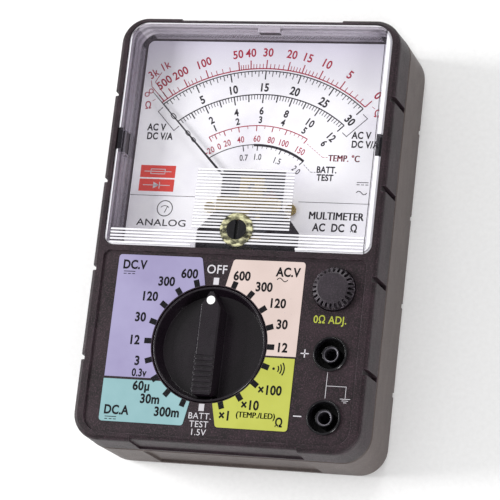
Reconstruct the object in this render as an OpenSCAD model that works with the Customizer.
// Palm-size analog multimeter, lying on its back.
// Origin: on the table, under the middle of the case. +X right, +Y towards the scale, +Z out of the front.

/* [Case] */
// Overall width of the case
case_w = 94; // [93:0.5:95]
// Overall length of the case
case_l = 140; // [139:0.5:141]
// Height of the front panel above the table
panel_z = 36; // [35.8:0.1:36.2]
// Height of the parting line between the two case halves
parting_z = 24; // [23.8:0.1:24.2]
// Radius of the four upright corners of the case
corner_r = 9; // [8.5:0.5:9.5]
// Wall thickness of the rear cover
rear_wall = 2.4; // [2.2:0.1:2.5]
// Thickness of the front panel
panel_t = 2.2; // [2:0.1:2.4]
// Height of the rim above the front panel
rim_h = 0.6; // [0.4:0.1:0.8]

/* [Range selector] */
// Selector axis, sideways from the middle of the case
dial_x = -4.85; // [-5:0.05:-4.7]
// Selector axis, along the case
dial_y = -37.3; // [-37.5:0.1:-37.1]
// Radius of the selector's cup
knob_r = 18.4; // [18.2:0.1:18.5]
// Width of the grip bar
bar_w = 6.6; // [6:0.1:7]
// Height of the grip bar above the front panel
bar_h = 3.1; // [2.6:0.1:3.4]
// Number of click positions
positions = 20; // [20]

/* [Ohm adjuster] */
// Adjuster axis, sideways
adjust_x = 33.4; // [33.2:0.1:33.6]
// Adjuster axis, along the case
adjust_y = -18.2; // [-18.4:0.1:-18]
// Radius of the fluted adjuster
adjust_r = 6.65; // [6.5:0.05:6.7]
// Number of flutes round the adjuster
flutes = 24; // [20:1:26]

/* [Sockets] */
// Socket column, sideways
socket_x = 34.35; // [34.2:0.05:34.5]
// Plus socket, along the case
plus_y = -38.5; // [-38.7:0.1:-38.3]
// Minus socket, along the case
minus_y = -58.3; // [-58.5:0.1:-58.1]
// Radius of the hole that takes a 4 mm plug
plug_r = 2.0; // [2]
// Depth of the plug hole
plug_depth = 23; // [20:1:23]

/* [Meter] */
// Half width of the clear cover
cover_hw = 43.7; // [43.6:0.05:43.7]
// Pivot of the movement, along the case
pivot_y = 9.9; // [9.8:0.1:10]
// Length of the pointer from its pivot
pointer_l = 52.5; // [50:0.5:53]
// Angle of the resting pointer, left of straight up
rest_angle = 44.7; // [44:0.1:45]
// Height of the printed face of the scale
scale_z = 25; // [25]
// Radius of the moving-coil core
core_r = 7.5; // [7.4:0.1:7.6]

/* [Hidden] */
$fn = 64;
eps = 0.01;
corner_x = case_w / 2 - corner_r;
corner_y = case_l / 2 - corner_r;
rim_z = panel_z + rim_h;

// edges of the recessed panel and of the meter window
panel_hw = 43;
panel_low = -67;
panel_high = -8.65;
window_low = -6.8;
window_high = 68.1;
ledge_top = scale_z - 0.8;
ledge_bottom = 22.2;
tongue_r = corner_r - 2.7;

// fasteners
case_screw_at = [[-41.5, -64.5], [41.5, -64.5], [-41.5, -12], [41.5, -12]];
pcb_screw_at = [[-35, -20], [-35, -57], [22, -12.5], [22, -62]];
frame_screw_at = [[-35, -1.2], [35, -1.2], [-35, 24], [35, 24]];
scale_screw_at = [[-13.5, 9.5], [13.5, 9.5]];
screw_r = 1.4;
boss_r = 2.8;
rear_boss_r = 3.4;

// circuit board
board_z = 19;
board_t = 1.6;
board_top = board_z + board_t;
board_hw = 37.6;

// selector
well_r = knob_r + 0.3;
well_floor = panel_z - 7.6;
well_floor_t = 1.4;
knob_bottom = well_floor + 0.5;
knob_floor = panel_z - 4.8;
hub_r = 5.9;
rotor_r = 15;
rotor_z = 23;
rotor_t = 3.2;
ball_r = 1.2;
ball_at = 14.7;
drive_w = 6;

// meter movement
cover_wall = 1.8;
cover_top = rim_z - 0.2;
coil_r = core_r + 1.2;
yoke_in = core_r + 2;
yoke_out = core_r + 5;
pointer_z = 26.6;
bridge_z = 28.3;
lever_z = 29.45;
zero_y = -0.5;
zero_pin_offset = 1.2;

// battery bay
cell_r = 7.25;
cell_l = 50.5;
cell_z = 9.6;
cell_y = [54, 38];
bay_hl = 28.2;

module at_dial() {
    translate([dial_x, dial_y, 0]) children();
}

module at_pivot() {
    translate([0, pivot_y, 0]) children();
}

module at_each(places) {
    for (p = places) translate([p[0], p[1], 0]) children();
}

// cylinder from one height to another
module post(r, z0, z1) {
    translate([0, 0, z0]) cylinder(r = r, h = z1 - z0);
}

// box from one corner to the opposite one
module block(low, high) {
    translate(low) cube(high - low);
}

// outline of a rectangle with its own radius at the low end and at the high end
module panel_outline(hw, low, high, r_low, r_high) {
    for (s = [-1, 1]) {
        translate([s * (hw - r_low), low + r_low]) circle(r_low);
        translate([s * (hw - r_high), high - r_high]) circle(r_high);
    }
    translate([-hw, low + r_low]) square([2 * hw, high - low - r_low - r_high]);
    translate([r_low - hw, low]) square([2 * (hw - r_low), r_low + eps]);
    translate([r_high - hw, high - r_high - eps]) square([2 * (hw - r_high), r_high + eps]);
}

module panel_block(hw, low, high, r_low, r_high, z0, z1) {
    translate([0, 0, z0]) linear_extrude(z1 - z0) panel_outline(hw, low, high, r_low, r_high);
}

// block with round upright corners and a shaped edge; edge lists [radius, height] upwards
module case_block(edge) {
    n = len(edge);
    bottom = edge[0][1];
    top = edge[n - 1][1];
    function half(c) = concat([for (p = edge) [c + p[0], p[1]]],
        [for (i = [n - 1:-1:0]) [-c - edge[i][0], edge[i][1]]]);
    rotate([90, 0, 0]) linear_extrude(2 * corner_y, center = true) polygon(half(corner_x));
    rotate([90, 0, 90]) linear_extrude(2 * corner_x, center = true) polygon(half(corner_y));
    for (i = [0:3]) {
        sx = (i == 0 || i == 3) ? 1 : -1;
        sy = i < 2 ? 1 : -1;
        translate([sx * corner_x, sy * corner_y, 0]) rotate([0, 0, 90 * i])
            rotate_extrude(angle = 90) polygon(concat([[0, bottom]], edge, [[0, top]]));
    }
}

// helical wire; r0 and r1 are the coil's radii at its two ends
module coil_wire(r0, r1, length, turns, wire, per_turn = 12, sides = 6) {
    steps = turns * per_turn;
    function ring(i) = [for (k = [0:sides - 1])
        let (a = 360 * i / per_turn, b = 360 * k / sides, r = r0 + (r1 - r0) * i / steps)
        [(r + wire * cos(b)) * cos(a), (r + wire * cos(b)) * sin(a),
            length * i / steps + wire * sin(b)]];
    points = [for (i = [0:steps]) each ring(i)];
    walls = [for (i = [0:steps - 1], k = [0:sides - 1]) let (k2 = (k + 1) % sides)
        [i * sides + k, (i + 1) * sides + k, (i + 1) * sides + k2, i * sides + k2]];
    ends = [[for (k = [0:sides - 1]) k], [for (k = [sides - 1:-1:0]) steps * sides + k]];
    polyhedron(points, concat(walls, ends), convexity = 10);
}

// insulated wire along straight runs with round joints
module wire_run(points, r) {
    for (i = [0:len(points) - 2]) {
        d = points[i + 1] - points[i];
        flat = norm([d[0], d[1]]);
        translate(points[i]) rotate([0, atan2(flat, d[2]), atan2(d[1], d[0])])
            cylinder(r = r, h = norm(d), $fn = 24);
    }
    for (i = [1:len(points) - 2]) translate(points[i]) sphere(1.08 * r, $fn = 24);
}

// ---------------------------------------------------------------- case

notch_w = 1.8;
notch_y = [-43.5, -14.5, 14.5, 43.5];
bumper_x = 27;
low_end_step = 0.7;
high_end_step = 0.45;

module side_notches(z0, z1, depth) {
    for (y = notch_y, s = [-1, 1])
        translate([s * case_w / 2, y, (z0 + z1) / 2]) cube([2 * depth, notch_w, z1 - z0], center = true);
}

module end_recess(s, z0, z1) {
    translate([0, s * (case_l / 2 + 1), (z0 + z1) / 2]) cube([2 * bumper_x, 3.8, z1 - z0], center = true);
}

rear_edge = [[corner_r - 1.6, 0], [corner_r - 0.75, 0.3], [corner_r - 0.2, 1], [corner_r, 2],
    [corner_r, parting_z - 0.7], [corner_r - 0.7, parting_z]];
rear_inside = [[corner_r - rear_wall, 2.2], [corner_r - rear_wall, parting_z + 1]];

module rear_bosses(r, z0, z1) {
    at_each(case_screw_at) post(r, z0, z1);
}

module rear_case() {
    color("#7a7270") difference() {
        union() {
            difference() {
                case_block(rear_edge);
                case_block(rear_inside);
            }
            intersection() {
                rear_bosses(rear_boss_r, 0, parting_z);
                case_block([[corner_r - 1, 0.2], [corner_r - 1, parting_z]]);
            }
            for (s = [-1, 1]) block([s * (bay_hl + 0.9) - 0.9, 30.2, 2], [s * (bay_hl + 0.9) + 0.9, 61.8, 14]);
            for (y = [29.4, 61.8]) block([-bay_hl - 1.8, y, 2], [bay_hl + 1.8, y + 0.8, 12]);
            block([-bay_hl, 45.6, 2], [bay_hl, 46.4, 7]);
        }
        rear_bosses(1.7, -1, parting_z + 1);
        rear_bosses(2.9, -1, 12);
        side_notches(-1, 3.2, 0.9);
        for (s = [-1, 1]) end_recess(s, 3.2, parting_z - 1.6);
    }
}

front_edge = [[corner_r - 0.7, parting_z], [corner_r - 0.1, parting_z + 0.6],
    [corner_r - 0.5, rim_z - 1.7], [corner_r - 0.66, rim_z - 0.9], [corner_r - 1.1, rim_z - 0.3],
    [corner_r - 1.8, rim_z]];
// the same profile, stepped in; the top of the rim keeps its place at the high end, beside the window
function stepped_edge(s) = [for (p = front_edge)
    [p[0] - (s < 0 ? low_end_step : p[1] < rim_z ? high_end_step : 0), p[1]]];
cover_r = [3, 6];

module window_outline_cut(grow, z0, z1) {
    panel_block(cover_hw + grow, window_low + 0.2 - grow, window_high - 0.2 + grow,
        cover_r[0] + grow, cover_r[1] + grow, z0, z1);
}

// middle of the low end (s = -1) or of the high end (s = 1), from y outwards
module end_middle(s, y, z0, z1) {
    block([-bumper_x, min(s * y, s * case_l), z0], [bumper_x, max(s * y, s * case_l), z1]);
}

module front_shell() {
    step_z = parting_z + 1.6;
    difference() {
        union() {
            difference() {
                case_block(front_edge);
                for (s = [-1, 1]) end_middle(s, corner_y, step_z, rim_z + 1);
            }
            for (s = [-1, 1]) intersection() {
                case_block(stepped_edge(s));
                end_middle(s, corner_y - 1, step_z - 0.5, rim_z + 1);
            }
            case_block([[tongue_r, ledge_bottom], [tongue_r, parting_z + 1]]);
        }
        // bay behind the panel
        panel_block(case_w / 2 - 3.4, -67.4, window_low - 2.2, 6, 0.8, 20, panel_z - panel_t);
        // recessed panel
        panel_block(panel_hw, panel_low, panel_high, 5.5, 2, panel_z, rim_z + 1);
        // meter window and the opening in the ledge that carries the scale
        window_outline_cut(0.2, scale_z + 0.2, rim_z + 1);
        panel_block(41.5, window_low + 2, window_high - 2.2, 2, 2.4, ledge_top, scale_z + 1);
        panel_block(38, window_low + 3, window_high - 6, 2, 3, 20, scale_z);
        side_notches(parting_z + 0.6, rim_z + 1, 2);
    }
}

module detent_ring() {
    difference() {
        post(18.2, rotor_z - 0.4, well_floor);
        post(ball_at + ball_r + 0.05, 20, well_floor - well_floor_t);
        for (i = [0:positions - 1]) rotate([0, 0, i * 360 / positions])
            translate([0, 15.45, 0]) post(1.3, 20, well_floor - well_floor_t);
    }
}

module snap_ribs() {
    for (s = [-1, 1])
        block([s * 43.1 - 0.9, 25, 29.6], [s * 43.1 + 0.9, 32, 32.6]);
    block([-1.7, 66.3, 29.6], [5.3, 68.3, 32.6]);
}

module front_case() {
    color("#3b333b") difference() {
        union() {
            front_shell();
            snap_ribs();
            at_dial() difference() {
                post(well_r + 1.5, well_floor - well_floor_t, panel_z);
                post(well_r, well_floor, rim_z + 1);
            }
            at_dial() detent_ring();
            at_each(case_screw_at) post(boss_r, parting_z, panel_z - eps);
            at_each(pcb_screw_at) post(boss_r, board_top, panel_z - eps);
            at_each(frame_screw_at) post(boss_r, ledge_bottom, ledge_top);
            for (p = frame_screw_at) block([p[0] - 4 * (p[0] < 0 ? 1 : 0), p[1] - 2, ledge_bottom],
                [p[0] + 4 * (p[0] > 0 ? 1 : 0), p[1] + 2, ledge_top]);
        }
        at_dial() post(well_r, well_floor, rim_z + 1);
        at_dial() post(hub_r + 0.3, 20, well_floor + 1);
        at_each(case_screw_at) post(rear_boss_r + 0.4, 20, parting_z);
        at_each(case_screw_at) post(screw_r + 0.02, 20, parting_z + 8);
        at_each(pcb_screw_at) post(screw_r + 0.02, 20, board_top + 8);
        at_each(frame_screw_at) post(screw_r + 0.02, 20, ledge_top + 1);
        translate([adjust_x, adjust_y, 0]) post(adjust_r + 0.3, 20, rim_z + 1);
        for (y = [plus_y, minus_y]) translate([socket_x, y, 0]) post(5.25, 20, rim_z + 1);
    }
}

// self-tapping pan-head screw that enters upwards, head underneath
module screw_up(z_head, length, head_r = 2.6, head_h = 1.6) {
    difference() {
        union() {
            post(head_r, z_head - head_h, z_head);
            post(screw_r, z_head - eps, z_head + length);
        }
        for (a = [0, 90]) rotate([0, 0, a])
            translate([0, 0, z_head - head_h]) cube([2.6, 0.7, 1.6], center = true);
    }
}

module case_screws() {
    color("silver") at_each(case_screw_at) screw_up(12, 19);
}

// ---------------------------------------------------------------- meter front

rib_pitch = 1.05;
screen_hw = 16;
screen_x = 1.1;
screen_low = -0.5;
screen_ribs = 19;

// upright profile of a ribbed surface: ribs stand on z0
module ribs(count, hw, low, z0, height) {
    profile = concat([[low, z0 - 0.4]],
        [for (i = [0:count - 1]) each [[low + i * rib_pitch, z0], [low + (i + 0.25) * rib_pitch, z0 + height],
            [low + (i + 0.75) * rib_pitch, z0 + height]]],
        [[low + count * rib_pitch, z0], [low + count * rib_pitch, z0 - 0.4]]);
    rotate([90, 0, 90]) linear_extrude(2 * hw, center = true) polygon(profile);
}

module meter_cover() {
    hw = cover_hw;
    low = window_low + 0.2;
    high = window_high - 0.2;
    color([0.9, 0.93, 0.95, 0.4]) difference() {
        union() {
            panel_block(hw, low, high, cover_r[0], cover_r[1], scale_z + 0.2, cover_top - 0.5);
            panel_block(hw - 0.5, low + 0.5, high - 0.5, cover_r[0], cover_r[1], cover_top - 0.6, cover_top);
            translate([screen_x, 0, 0]) ribs(screen_ribs, screen_hw, screen_low, cover_top, 0.4);
            ribs(4, hw - 2, low + 1.3, cover_top, 0.3);
            translate([0, zero_y, 0]) post(5.3, cover_top - 1, cover_top + 0.8);
        }
        panel_block(hw - cover_wall, low + cover_wall, high - cover_wall, cover_r[0] - cover_wall + 0.3,
            cover_r[1] - cover_wall, 20, cover_top - cover_wall);
        translate([0, zero_y, 0]) post(2.1, 20, rim_z + 2);
        translate([0, zero_y, 0]) post(3.35, cover_top - 0.9, rim_z + 2);
        for (s = [-1, 1])
            block([s * 43 - 1.4, 24.8, 29.4], [s * 43 + 1.4, 32.2, 32.8]);
        block([-1.9, 65, 29.4], [5.5, 69, 32.8]);
    }
}

module zero_screw() {
    color("#222226") translate([0, zero_y, 0]) difference() {
        union() {
            post(2, 31.8, cover_top - 0.8);
            post(3.2, cover_top - 0.8, cover_top + 0.75);
            post(2.6, 31.4, cover_top - cover_wall - 0.1);
            translate([0, zero_pin_offset, 0]) post(0.6, lever_z - 0.1, 31.5);
        }
        translate([0, 0, cover_top + 0.6]) cube([1.1, 8, 1.7], center = true);
    }
}

// opening in the scale plate over the movement, narrow at the top and wide at the bottom
movement_opening = [[-10.5, 22.3], [10.5, 22.3], [10.5, 10], [17, 2], [17, -12], [-17, -12], [-17, 2],
    [-10.5, 10]];

module scale_plate() {
    color("#e4e2ea") difference() {
        panel_block(41.2, window_low + 2.2, window_high - 2.6, 1.8, 2.2, ledge_top, scale_z);
        translate([0, 0, 20]) linear_extrude(10) polygon(movement_opening);
        at_each(scale_screw_at) post(1.3, 20, 30);
    }
}

module scale_screws() {
    color("#c9b27a") at_each(scale_screw_at) difference() {
        union() {
            post(1.75, scale_z, scale_z + 0.9);
            post(1.2, ledge_top - 4, scale_z + eps);
        }
        translate([0, 0, scale_z + 0.9]) cube([4, 0.6, 0.8], center = true);
    }
}

// ---------------------------------------------------------------- movement

frame_top = ledge_bottom;
frame_bottom = 20;

module movement_frame() {
    color("#4a4d55") difference() {
        union() {
            block([-38.4, -4.2, frame_bottom], [38.4, 27, frame_top]);
            at_pivot() post(yoke_out + 1.9, 10, frame_top);
            at_each(scale_screw_at) post(2.2, frame_bottom, ledge_top);
        }
        at_pivot() post(yoke_out + 0.05, 8, 30);
        at_each(frame_screw_at) post(1.7, 19, 30);
        at_each(scale_screw_at) post(1.22, ledge_top - 6, 30);
        for (s = [-1, 1]) block([s * 25 - 5, 2, 19], [s * 25 + 5, 18, 30]);
    }
}

module movement_screws() {
    color("silver") at_each(frame_screw_at) screw_up(frame_bottom, 3.9);
}

module yoke_ring() {
    color("#8b8f96") at_pivot() difference() {
        post(yoke_out, 9, 20);
        post(yoke_in, 8, 21);
    }
}

module core_magnet() {
    color("#5b5d63") at_pivot() post(core_r, 9.5, 19.5);
}

// two brass wedges that hold the core inside the yoke, outside the coil's swing
module core_spacers() {
    color("#b8924a") at_pivot() intersection() {
        difference() {
            post(yoke_in - 0.03, 10.5, 18.5);
            post(core_r + 0.03, 9, 21);
        }
        translate([0, 0, 14.5]) cube([5.2, 40, 12], center = true);
    }
}

module bridge(z_strap, z_foot, strap_t, leg_t) {
    low = min(z_strap, z_foot);
    high = max(z_strap + strap_t, z_foot);
    up = z_strap > z_foot;
    difference() {
        union() {
            block([-10.2, -2.2, z_strap], [10.2, 2.2, z_strap + strap_t]);
            for (s = [-1, 1]) {
                block([s * 9.8 - 0.4, -2.2, low], [s * 9.8 + 0.4, 2.2, high]);
                block([s * 10.8 - 1.4, -2.2, up ? z_foot : z_foot - leg_t],
                    [s * 10.8 + 1.4, 2.2, up ? z_foot + leg_t : z_foot]);
            }
        }
        post(1.5, z_strap - 1, z_strap + strap_t + 1);
    }
}

// the front bridge carries a plate towards the scale, with a round window over the moving system
module front_bridge() {
    color("#b8924a") at_pivot() {
        bridge(bridge_z, 20, 1, 0.9);
        difference() {
            block([-3, 2, bridge_z], [5, 8.8, bridge_z + 0.8]);
            translate([1, 5.6, 0]) post(1.3, bridge_z - 1, bridge_z + 2);
        }
    }
}

module rear_bridge() {
    color("#b8924a") at_pivot() bridge(4, 9, 1, 0.9);
}

module jewel_screws() {
    color("#c9b27a") at_pivot() {
        difference() {
            post(1.49, bridge_z - 0.5, bridge_z + 1.9);
            post(0.45, bridge_z - 1, bridge_z + 0.2);
            translate([0, 0, bridge_z + 1.9]) cube([4, 0.45, 0.8], center = true);
        }
        difference() {
            post(1.49, 2.7, 5.4);
            post(0.45, 4.7, 6);
            translate([0, 0, 2.7]) cube([4, 0.45, 0.8], center = true);
        }
    }
}

// everything on the moving system turns with the pointer
module at_rest_angle() {
    at_pivot() rotate([0, 0, rest_angle]) children();
}

module moving_coil() {
    color("#a8552c") at_rest_angle() difference() {
        block([-coil_r, -1.4, 8], [coil_r, 1.4, 21]);
        block([-coil_r + 0.8, -2, 9], [coil_r - 0.8, 2, 20]);
    }
}

module coil_pivots() {
    color("silver") at_rest_angle() {
        post(0.35, 21, bridge_z + 0.1);
        post(0.35, 4.8, 8);
    }
}

// flat spiral ribbon round the pivot
module hairspring(z0) {
    turns = 3;
    step = 15;
    inner = 1.0;
    pitch = 1.25;
    ribbon = 0.16;
    n = turns * 360 / step;
    function spot(i, extra) = let (r = inner + pitch * i * step / 360 + extra)
        [r * cos(i * step), r * sin(i * step)];
    translate([0, 0, z0]) {
        linear_extrude(0.7) polygon(concat([for (i = [0:n]) spot(i, 0)],
            [for (i = [n:-1:0]) spot(i, ribbon)]));
        difference() {
            cylinder(r = 1.1, h = 0.7);
            translate([0, 0, -1]) cylinder(r = 0.35, h = 3);
        }
    }
}

module front_hairspring() {
    color("#b8924a") at_rest_angle() hairspring(22.6);
}

module rear_hairspring() {
    color("#b8924a") at_rest_angle() hairspring(6.1);
}

module pointer() {
    color("#1b1b1e") at_rest_angle() translate([0, 0, pointer_z]) difference() {
        union() {
            linear_extrude(0.4) polygon([[-0.75, 0], [-0.42, 12], [-0.16, pointer_l - 6],
                [-0.09, pointer_l], [0.09, pointer_l], [0.16, pointer_l - 6], [0.42, 12], [0.75, 0]]);
            linear_extrude(0.4) polygon([[-0.5, 0], [-0.5, -6.2], [0.5, -6.2], [0.5, 0]]);
            linear_extrude(0.4) square([8, 0.9], center = true);
            cylinder(r = 1.3, h = 0.9);
        }
        translate([0, 0, -1]) cylinder(r = 0.35, h = 3);
    }
}

module balance_weights() {
    color("#b8924a") at_rest_angle() translate([0, 0, pointer_z + 0.4]) {
        for (s = [-1, 1]) translate([s * 3.1, 0, 0]) cylinder(r = 0.75, h = 0.8);
        translate([0, -5.2, 0]) cylinder(r = 0.9, h = 0.9);
    }
}

// lever round the front jewel screw, forked over the zero screw's pin
module zero_lever() {
    fork_y = zero_y + zero_pin_offset - pivot_y;
    color("#c9b27a") at_pivot() translate([0, 0, lever_z]) difference() {
        union() {
            cylinder(r = 2.8, h = 0.6);
            block([-1.3, fork_y - 1.4, 0], [1.3, 0, 0.6]);
        }
        translate([0, 0, -1]) cylinder(r = 1.55, h = 3);
        block([-0.7, fork_y - 3, -1], [0.7, fork_y + 1.4, 2]);
    }
}

// ---------------------------------------------------------------- range selector

tip_y = 16;
tail_y = -16.4;
ridge_pitch = 1.7;
bar_top = panel_z + bar_h;

module knob_cup() {
    rotate_extrude($fn = 96) polygon([[0, knob_bottom], [knob_r - 0.8, knob_bottom],
        [knob_r, knob_bottom + 0.8], [knob_r, panel_z - 0.3], [knob_r - 0.3, panel_z],
        [knob_r - 0.8, panel_z], [16.35, knob_floor], [0, knob_floor]]);
}

module knob_bar() {
    hw = bar_w / 2;
    intersection() {
        translate([0, 0, knob_floor - 1]) linear_extrude(bar_top - knob_floor + 1)
            polygon([[-hw, tail_y + 0.6], [-hw + 0.6, tail_y], [hw - 0.6, tail_y], [hw, tail_y + 0.6],
                [hw, tip_y - 5], [0.5, tip_y], [-0.5, tip_y], [-hw, tip_y - 5]]);
        rotate([90, 0, 0]) linear_extrude(40, center = true)
            polygon([[-hw - 0.9, knob_floor - 1], [-hw, knob_floor + 1], [-hw, bar_top - 0.5],
                [-hw + 0.5, bar_top], [hw - 0.5, bar_top], [hw, bar_top - 0.5], [hw, knob_floor + 1],
                [hw + 0.9, knob_floor - 1]]);
    }
}

module range_knob() {
    color("#2e2730") at_dial() difference() {
        union() {
            knob_cup();
            knob_bar();
            post(hub_r, well_floor - 1.4, knob_bottom + eps);
            translate([0, 0, rotor_z + rotor_t / 2 + 1.2])
                cube([drive_w, drive_w, rotor_t + 2.4], center = true);
        }
        for (i = [0:7]) translate([0, -3.7 - ridge_pitch * (i + 0.5), bar_top])
            cube([bar_w + 1, ridge_pitch - 0.8, 0.9], center = true);
        translate([0, 13.3, 0]) post(1.35, bar_top - 0.8, bar_top + 1);
        post(screw_r + 0.02, 20, rotor_z + 7);
    }
}

module knob_dot() {
    color("white") at_dial() translate([0, 13.3, 0]) post(1.35, bar_top - 0.8, bar_top);
}

module knob_screw() {
    color("silver") at_dial() screw_up(rotor_z, 6, 3.6, 1.1);
}

module switch_rotor() {
    color("#e8e2d0") at_dial() difference() {
        post(rotor_r, rotor_z, rotor_z + rotor_t);
        translate([0, 0, rotor_z]) cube([drive_w + 0.02, drive_w + 0.02, 20], center = true);
        for (s = [0, 180]) rotate([0, 0, s]) translate([0, 8, rotor_z + rotor_t / 2])
            rotate([-90, 0, 0]) cylinder(r = 1.3, h = 10);
        for (s = [60, 120, 240, 300]) rotate([0, 0, s]) translate([0, 9.5, 0]) post(2.2, 20, 30);
    }
}

module detent_balls() {
    color("silver") at_dial() for (s = [-1, 1])
        translate([0, s * ball_at, rotor_z + rotor_t / 2]) sphere(ball_r);
}

module detent_springs() {
    length = ball_at - ball_r - 8 - 0.5;
    color("#9a9aa0") at_dial() for (s = [0, 180]) rotate([0, 0, s])
        translate([0, 8.2, rotor_z + rotor_t / 2]) rotate([-90, 0, 0]) coil_wire(0.9, 0.9, length, 6, 0.17);
}

// sprung fingers under the rotor that bridge the tracks on the board
module wiper_contacts() {
    gap = board_top + 0.12;
    color("#c8a24a") at_dial() for (s = [30, 150, 270]) rotate([0, 0, s]) {
        translate([0, 10, 0]) rotate([90, 0, 0]) linear_extrude(2.4, center = true)
            polygon([[-1.5, rotor_z], [-1.5, rotor_z - 0.3], [0.8, rotor_z - 0.3], [3.6, gap],
                [4.4, gap], [4.9, gap + 0.5], [4.5, gap + 0.6], [4.1, gap + 0.35], [3.8, gap + 0.35],
                [1.2, rotor_z]]);
    }
}

module switch_tracks() {
    color("#d8a860") at_dial() {
        for (i = [0:positions - 1]) rotate([0, 0, i * 360 / positions])
            block([-1, 11.4, board_top], [1, 14.6, board_top + 0.08]);
        difference() {
            post(9.4, board_top, board_top + 0.08);
            post(7.2, board_top - 1, board_top + 1);
        }
    }
}

// ---------------------------------------------------------------- ohm adjuster

adjust_top = panel_z + 3;
flute_r = 0.43;
flute_start = 5.35;
flute_floor = panel_z + 0.9;
adjust_edge = [[0, panel_z - 6], [adjust_r - 0.4, panel_z - 6], [adjust_r, panel_z - 5.6],
    [adjust_r, adjust_top - 1.5], [adjust_r - 0.35, adjust_top - 0.85], [adjust_r - 1.4, adjust_top - 0.3],
    [adjust_r - 2, adjust_top], [0, adjust_top]];

module ohm_knob() {
    color("#2e2730") translate([adjust_x, adjust_y, 0]) difference() {
        rotate_extrude() polygon(adjust_edge);
        translate([0, 0, flute_floor]) linear_extrude(5)
            for (i = [0:flutes - 1]) rotate(i * 360 / flutes) {
                translate([flute_start, 0]) circle(flute_r);
                translate([flute_start, -flute_r]) square([3, 2 * flute_r]);
            }
        post(3, panel_z - 7, panel_z - 1);
    }
}

module pot_shaft() {
    color("silver") translate([adjust_x, adjust_y, 0]) post(3, board_top + 1.4, panel_z - 1);
}

module pot_body() {
    color("#3f6fae") translate([adjust_x, adjust_y, 0]) difference() {
        block([-4.2, -6, board_top], [4.2, 6, board_top + 6.5]);
        post(3.05, board_top + 1.2, 30);
    }
}

// ---------------------------------------------------------------- circuit board

module pcb() {
    color("#2f6b45") difference() {
        translate([0, 0, board_z]) linear_extrude(board_t) difference() {
            translate([-board_hw, -66]) square([2 * board_hw, 56]);
            translate([dial_x, dial_y]) circle(4.2);
        }
        at_each(pcb_screw_at) post(1.7, 18, 22);
        for (y = [plus_y, minus_y]) translate([socket_x, y, 0]) post(2.46, 18, 22);
    }
}

module pcb_screws() {
    color("silver") at_each(pcb_screw_at) screw_up(board_z, 8);
}

module socket_body(y) {
    color("#17161a") translate([socket_x, y, 0]) rotate_extrude() polygon([[2.42, board_top + 0.4],
        [5.2, board_top + 0.4], [5.2, panel_z], [5.4, panel_z], [5.4, panel_z + 0.6],
        [5.15, panel_z + 0.85], [4.85, panel_z + 0.85], [4.7, panel_z + 0.6], [4.7, panel_z - 10],
        [2.78, panel_z - 10], [2.78, panel_z - 0.25], [2.6, panel_z], [2.42, panel_z]]);
}

module plus_socket_body() {
    socket_body(plus_y);
}

module minus_socket_body() {
    socket_body(minus_y);
}

module socket_sleeve(y) {
    top = panel_z - 0.6;
    color("#9c9aa0") translate([socket_x, y, 0]) difference() {
        post(2.42, top - plug_depth - 1.4, top);
        post(plug_r, top - plug_depth, top + 1);
    }
}

module plus_socket_sleeve() {
    socket_sleeve(plus_y);
}

module minus_socket_sleeve() {
    socket_sleeve(minus_y);
}

module along_x(x0, y, z, r, length) {
    translate([x0, y, z]) rotate([0, 90, 0]) cylinder(r = r, h = length);
}

// a small body lying along X under the board, with its two bent leads
module leaded_body(x, y, r, length, lead_r) {
    z = board_z - r - 0.15;
    span = length / 2 + 1.6;
    along_x(x - length / 2, y, z, r, length);
    along_x(x - span, y, z, lead_r, 2 * span);
    for (s = [-1, 1]) translate([x + s * span, y, 0]) post(lead_r, z, board_z);
}

module range_resistors() {
    color("#d9c48f") for (row = [0:5], col = [0:1])
        leaded_body(-24 + 14 * col, -32 - 4 * row, 1.15, 6.2, 0.3);
}

module diodes() {
    color("#c9763a") for (row = [0:3]) leaded_body(6, -48 - 3.5 * row, 0.95, 4.2, 0.25);
}

module capacitors() {
    color("#2b4f8c") for (p = [[-20, -60], [8, -30]]) translate([p[0], p[1], 0]) {
        post(2.6, board_z - 7, board_z - 0.4);
        for (s = [-1, 1]) translate([s, 0, 0]) post(0.3, board_z - 0.5, board_z);
    }
}

module buzzer() {
    color("#1d1d20") difference() {
        translate([22, -26, 0]) post(6.5, board_z - 5.5, board_z);
        translate([22, -26, 0]) post(1, board_z - 7, board_z - 4.5);
    }
}

fuse_x = [-24, -4];
fuse_y = -17;
fuse_z = board_z - 3.6;
cap_l = 4.6;

module fuse_tube() {
    color([0.85, 0.9, 0.92, 0.6]) along_x(fuse_x[0] + cap_l, fuse_y, fuse_z, 2.3, 20 - 2 * cap_l);
}

module fuse_caps() {
    color("silver") for (x = [fuse_x[0], fuse_x[1] - cap_l]) along_x(x, fuse_y, fuse_z, 2.55, cap_l);
}

module fuse_clips() {
    color("#c8a24a") for (x = [fuse_x[0] + 1, fuse_x[1] - 3.6]) translate([x, 0, 0]) {
        difference() {
            union() {
                along_x(0, fuse_y, fuse_z, 3, 2.6);
                block([0, fuse_y - 2.6, fuse_z], [2.6, fuse_y + 2.6, board_z]);
            }
            along_x(-1, fuse_y, fuse_z, 2.57, 5);
            block([-1, fuse_y - 1.9, fuse_z - 5], [4, fuse_y + 1.9, fuse_z]);
        }
    }
}

// ---------------------------------------------------------------- batteries

// AA cell along X; dir is +1 when the positive end points to +X
module aa_cell(y, dir) {
    plate = 0.4;
    x_plus = dir * (bay_hl - plate);
    translate([x_plus, y, cell_z]) rotate([0, -90 * dir, 0]) union() {
        cylinder(r = 2.7, h = 1.2);
        translate([0, 0, 1.1]) cylinder(r = cell_r, h = cell_l - 1.1);
    }
}

module aa_cell_upper() {
    color("#c7a93b") aa_cell(cell_y[0], 1);
}

module aa_cell_lower() {
    color("#c7a93b") aa_cell(cell_y[1], -1);
}

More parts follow.
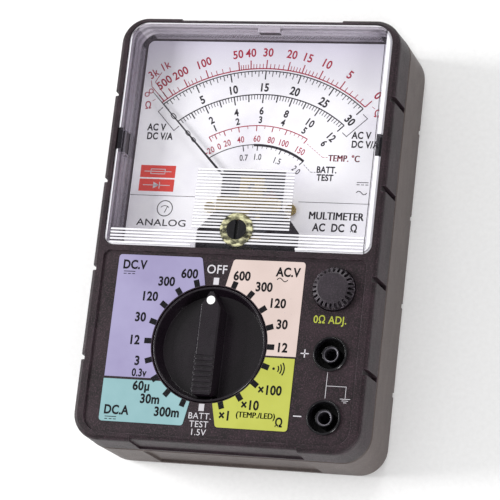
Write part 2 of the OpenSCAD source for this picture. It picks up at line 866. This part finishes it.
module contact_plate(x, y) {
    block([x - 0.2, y - 5.5, 3], [x + 0.2, y + 5.5, 15.9]);
}

module battery_plates() {
    color("silver") for (s = [-1, 1], y = cell_y) contact_plate(s * (bay_hl - 0.2), y);
}

module battery_springs() {
    gap = 2 * bay_hl - 0.8 - cell_l;
    wire = 0.35;
    color("#b5b5bb") {
        translate([-bay_hl + 0.4 + wire, cell_y[0], cell_z]) rotate([0, 90, 0])
            coil_wire(4.2, 2.6, gap - 2 * wire, 4, wire);
        translate([bay_hl - 0.4 - wire, cell_y[1], cell_z]) rotate([0, -90, 0])
            coil_wire(4.2, 2.6, gap - 2 * wire, 4, wire);
    }
}

// insulated wires that run through the case
lead_r = 0.55;

module movement_leads() {
    color("#b03030") for (s = [-1, 1])
        wire_run([[s * 16, -12, board_z], [s * 16, -12, 14], [s * 16, 2, 12], [s * 15.2, pivot_y, 12]],
            lead_r);
}

module battery_leads() {
    color("#222222") for (s = [-1, 1])
        wire_run([[s * 33, -14, board_z], [s * 33, -14, 10], [s * 33, 38, 10], [s * 33, 38, 15.2],
            [s * bay_hl, 38, 15.2]], lead_r);
}

// ---------------------------------------------------------------- panel labels

label_t = 0.15;

module label(points) {
    translate([0, 0, panel_z]) linear_extrude(label_t) difference() {
        polygon(points);
        translate([dial_x, dial_y]) circle(well_r + 0.25);
    }
}

// corner of a label rounded towards the outside of the panel; sx and sy point outwards
function round_corner(x, y, sx, sy, r) = [for (i = [0:4])
    let (a = (sx * sy > 0 ? 22.5 * i : 90 - 22.5 * i))
    [x - sx * r + sx * r * cos(a), y - sy * r + sy * r * sin(a)]];

module label_dc_volts() {
    color("#b3afd6") label(concat(round_corner(-37.8, -9.8, -1, 1, 1), [[-37.8, -49.15], [-16, -49.15],
        [-8.3, -18.7]], round_corner(-10, -9.8, 1, 1, 1)));
}

module label_dc_amps() {
    color("#a3d3cf") label(concat([[-37.9, -49.9]], round_corner(-37.9, -63.4, -1, -1, 1),
        round_corner(-10.2, -63.4, 1, -1, 1), [[-8.9, -55.8], [-16, -49.9]]));
}

module label_ac_volts() {
    color("#eed8ca") label(concat([[23.5, -40]], round_corner(23.5, -10, 1, 1, 1),
        round_corner(0, -10, -1, 1, 1), [[-1.6, -18.7], [8, -40]]));
}

module label_ohms() {
    color("#cfd65a") label(concat([[8, -40.6], [-1.5, -55.9]],
        round_corner(0, -63.3, -1, -1, 1), round_corner(23.3, -63.3, 1, -1, 1),
        [[23.3, -40.6]]));
}

rear_case();
front_case();
case_screws();
meter_cover();
zero_screw();
scale_plate();
scale_screws();
movement_frame();
movement_screws();
yoke_ring();
core_magnet();
core_spacers();
front_bridge();
rear_bridge();
jewel_screws();
moving_coil();
coil_pivots();
front_hairspring();
rear_hairspring();
pointer();
balance_weights();
zero_lever();
range_knob();
knob_dot();
knob_screw();
switch_rotor();
wiper_contacts();
detent_balls();
detent_springs();
switch_tracks();
ohm_knob();
pot_shaft();
pot_body();
pcb();
pcb_screws();
plus_socket_body();
minus_socket_body();
plus_socket_sleeve();
minus_socket_sleeve();
aa_cell_upper();
aa_cell_lower();
battery_springs();
battery_plates();
fuse_tube();
fuse_caps();
fuse_clips();
buzzer();
range_resistors();
capacitors();
diodes();
movement_leads();
battery_leads();
label_dc_volts();
label_dc_amps();
label_ac_volts();
label_ohms();
